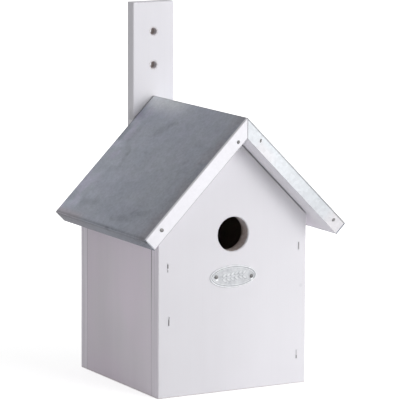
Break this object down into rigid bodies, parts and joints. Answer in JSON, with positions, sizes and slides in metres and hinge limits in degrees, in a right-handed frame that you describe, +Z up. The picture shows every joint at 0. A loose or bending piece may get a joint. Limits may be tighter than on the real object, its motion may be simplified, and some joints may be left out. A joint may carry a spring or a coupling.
{
  "type": "nest box",
  "caption": "Gable-roofed wooden nest box with a round entrance, an oval plate, a folded zinc roof and a hanging batten behind it.",
  "frame": {"origin": "on the ground, under the middle of the whole object's box", "axes": "+X to the right of the entrance, the front with the entrance faces -Y, +Z up"},
  "size_m": [0.2078, 0.194, 0.3455],
  "materials": {
    "painted_wood": "matt off-white paint over straight-grained softwood, edges eased",
    "zinc_sheet": "dull grey pre-weathered zinc sheet with cloudy patina",
    "plate_metal": "tinned pressed plate, satin",
    "nail_steel": "dull dark steel",
    "staple_wire": "thin steel wire, partly painted over"
  },
  "bodies": {
    "root": {"front_wall": "painted_wood", "back_wall": "painted_wood", "left_side_wall": "painted_wood", "right_side_wall": "painted_wood", "floor_board": "painted_wood", "left_roof_board": "painted_wood", "right_roof_board": "painted_wood", "hanging_batten": "painted_wood", "zinc_roof_cover": "zinc_sheet", "oval_plate": "plate_metal", "plate_nail_left": "nail_steel", "plate_nail_right": "nail_steel", "front_verge_nail_left_upper": "nail_steel", "front_verge_nail_left_lower": "nail_steel", "front_verge_nail_right_upper": "nail_steel", "front_verge_nail_right_lower": "nail_steel", "rear_verge_nail_left_upper": "nail_steel", "rear_verge_nail_left_lower": "nail_steel", "rear_verge_nail_right_upper": "nail_steel", "rear_verge_nail_right_lower": "nail_steel", "front_staple_left_upper": "staple_wire", "front_staple_left_lower": "staple_wire", "front_staple_right_upper": "staple_wire", "front_staple_right_lower": "staple_wire", "rear_staple_left_upper": "staple_wire", "rear_staple_left_lower": "staple_wire", "rear_staple_right_upper": "staple_wire", "rear_staple_right_lower": "staple_wire", "batten_screw_upper": "nail_steel", "batten_screw_lower": "nail_steel"}
  },
  "joints": []
}
